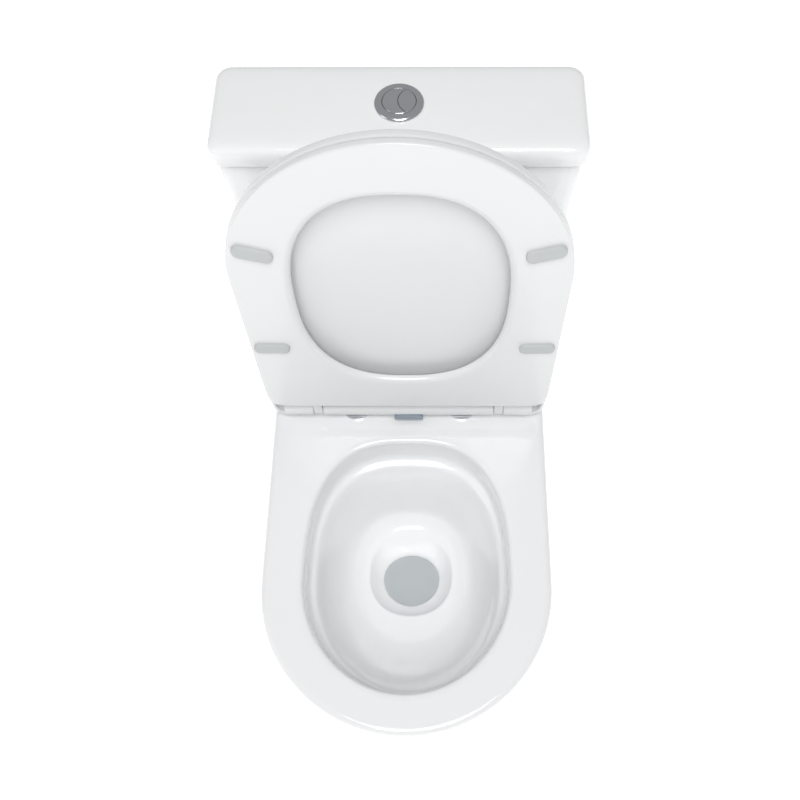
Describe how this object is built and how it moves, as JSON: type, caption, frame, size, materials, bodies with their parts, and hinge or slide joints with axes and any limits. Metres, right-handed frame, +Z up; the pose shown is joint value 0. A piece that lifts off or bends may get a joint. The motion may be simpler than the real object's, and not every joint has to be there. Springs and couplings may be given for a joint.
{
  "type": "close coupled toilet",
  "caption": "Close coupled toilet: skirted ceramic pan with rimless bowl, ceramic tank with dual flush button, slow-closing seat and lid on a quick-release hinge bar.",
  "frame": {"origin": "on the floor, at the middle of the bounding box of the object with its seat and lid raised", "axes": "+X to the right as seen from the front, +Y back towards the wall, +Z up"},
  "size_m": [0.3696, 0.618, 0.8379],
  "materials": {
    "glazed_ceramic": "glossy white glaze",
    "seat_plastic": "glossy white urea moulding",
    "white_plastic": "satin white moulding",
    "blue_plastic": "satin blue moulding",
    "grey_pads": "soft matt grey",
    "release_grey": "satin blue-grey",
    "chrome": "bright satin chrome",
    "steel": "zinc-plated or stainless steel",
    "black_rubber": "matt black rubber"
  },
  "bodies": {
    "pan_and_tank": {"pan": "glazed_ceramic", "tank_body": "glazed_ceramic", "flush_valve_body": "white_plastic", "rocker_pin": "steel", "flush_valve_washer": "black_rubber", "flush_valve_nut": "white_plastic", "coupling_gasket": "black_rubber", "coupling_bolts": "steel", "coupling_cone_washers": "black_rubber", "coupling_plates": "steel", "coupling_wing_nuts": "steel", "fill_valve_body": "white_plastic", "fill_valve_washer": "black_rubber", "fill_valve_nut": "white_plastic", "lever_pin": "steel", "post_discs": "chrome", "post_bolts": "steel", "post_bushes": "black_rubber", "post_nuts": "white_plastic", "floor_brackets": "steel", "side_screws": "steel", "screw_caps": "chrome"},
    "tank_lid_unit": {"tank_lid": "glazed_ceramic", "button_bezel": "chrome", "button_nut": "white_plastic", "full_button_spring": "steel", "half_button_spring": "steel"},
    "full_flush": {"full_flush_button": "chrome", "full_push_rod": "white_plastic"},
    "half_flush": {"half_flush_button": "chrome", "half_push_rod": "white_plastic"},
    "full_rocker": {"full_flush_rocker": "blue_plastic"},
    "half_rocker": {"half_flush_rocker": "blue_plastic"},
    "valve_core_unit": {"valve_core": "blue_plastic", "valve_seal": "black_rubber"},
    "float": {"float_cup": "blue_plastic"},
    "lever": {"float_lever": "blue_plastic"},
    "hinge_unit": {"hinge_bar": "seat_plastic", "hinge_dampers": "white_plastic", "hinge_pins": "steel", "release_spring": "steel"},
    "release": {"release_button": "release_grey"},
    "lid": {"seat_lid": "seat_plastic", "lid_pads": "white_plastic"},
    "seat": {"seat_ring": "seat_plastic", "seat_pads": "grey_pads"}
  },
  "joints": [
    {"name": "tank_lid_lift", "type": "slide", "parent": "pan_and_tank", "child": "tank_lid_unit", "axis": [0, 0, 1], "range_m": [0, 0.12]},
    {"name": "full_flush_press", "type": "slide", "parent": "tank_lid_unit", "child": "full_flush", "axis": [0, 0, -1], "range_m": [0, 0.005], "stiffness_N_per_m": 400, "springref_m": -0.006, "deforming": ["full_button_spring"]},
    {"name": "half_flush_press", "type": "slide", "parent": "tank_lid_unit", "child": "half_flush", "axis": [0, 0, -1], "range_m": [0, 0.005], "stiffness_N_per_m": 400, "springref_m": -0.006, "deforming": ["half_button_spring"]},
    {"name": "full_rocker_turn", "type": "hinge", "parent": "pan_and_tank", "child": "full_rocker", "pos_m": [0, 0.2705, 0.708], "axis": [1, 0, 0], "range_deg": [0, 22.5]},
    {"name": "half_rocker_turn", "type": "hinge", "parent": "pan_and_tank", "child": "half_rocker", "pos_m": [0, 0.2705, 0.708], "axis": [1, 0, 0], "range_deg": [0, 22.5]},
    {"name": "valve_core_lift", "type": "slide", "parent": "pan_and_tank", "child": "valve_core_unit", "axis": [0, 0, 1], "range_m": [0, 0.0072]},
    {"name": "float_rise", "type": "slide", "parent": "pan_and_tank", "child": "float", "axis": [0, 0, 1], "range_m": [0, 0.008]},
    {"name": "float_lever_turn", "type": "hinge", "parent": "pan_and_tank", "child": "lever", "pos_m": [-0.12, 0.252, 0.7245], "axis": [0, -1, 0], "range_deg": [0, 12]},
    {"name": "seat_release_lift", "type": "slide", "parent": "pan_and_tank", "child": "hinge_unit", "axis": [0, 0, 1], "range_m": [0, 0.03]},
    {"name": "release_press", "type": "slide", "parent": "hinge_unit", "child": "release", "axis": [0, 1, 0], "range_m": [0, 0.002], "stiffness_N_per_m": 500, "springref_m": -0.004},
    {"name": "lid_hinge", "type": "hinge", "parent": "hinge_unit", "child": "lid", "pos_m": [0, 0.103, 0.422], "axis": [1, 0, 0], "range_deg": [0, 97.3]},
    {"name": "seat_hinge", "type": "hinge", "parent": "hinge_unit", "child": "seat", "pos_m": [0, 0.103, 0.422], "axis": [1, 0, 0], "range_deg": [0, 97.3]}
  ],
  "couplings": [
    {"joint": "full_rocker_turn", "follows": "full_flush_press", "rad_per_m": 70},
    {"joint": "half_rocker_turn", "follows": "half_flush_press", "rad_per_m": 70},
    {"joint": "valve_core_lift", "follows": "full_flush_press", "ratio": 1.4},
    {"joint": "float_lever_turn", "follows": "float_rise", "rad_per_m": 25.5},
    {"joint": "seat_hinge", "follows": "lid_hinge", "ratio": 1}
  ]
}
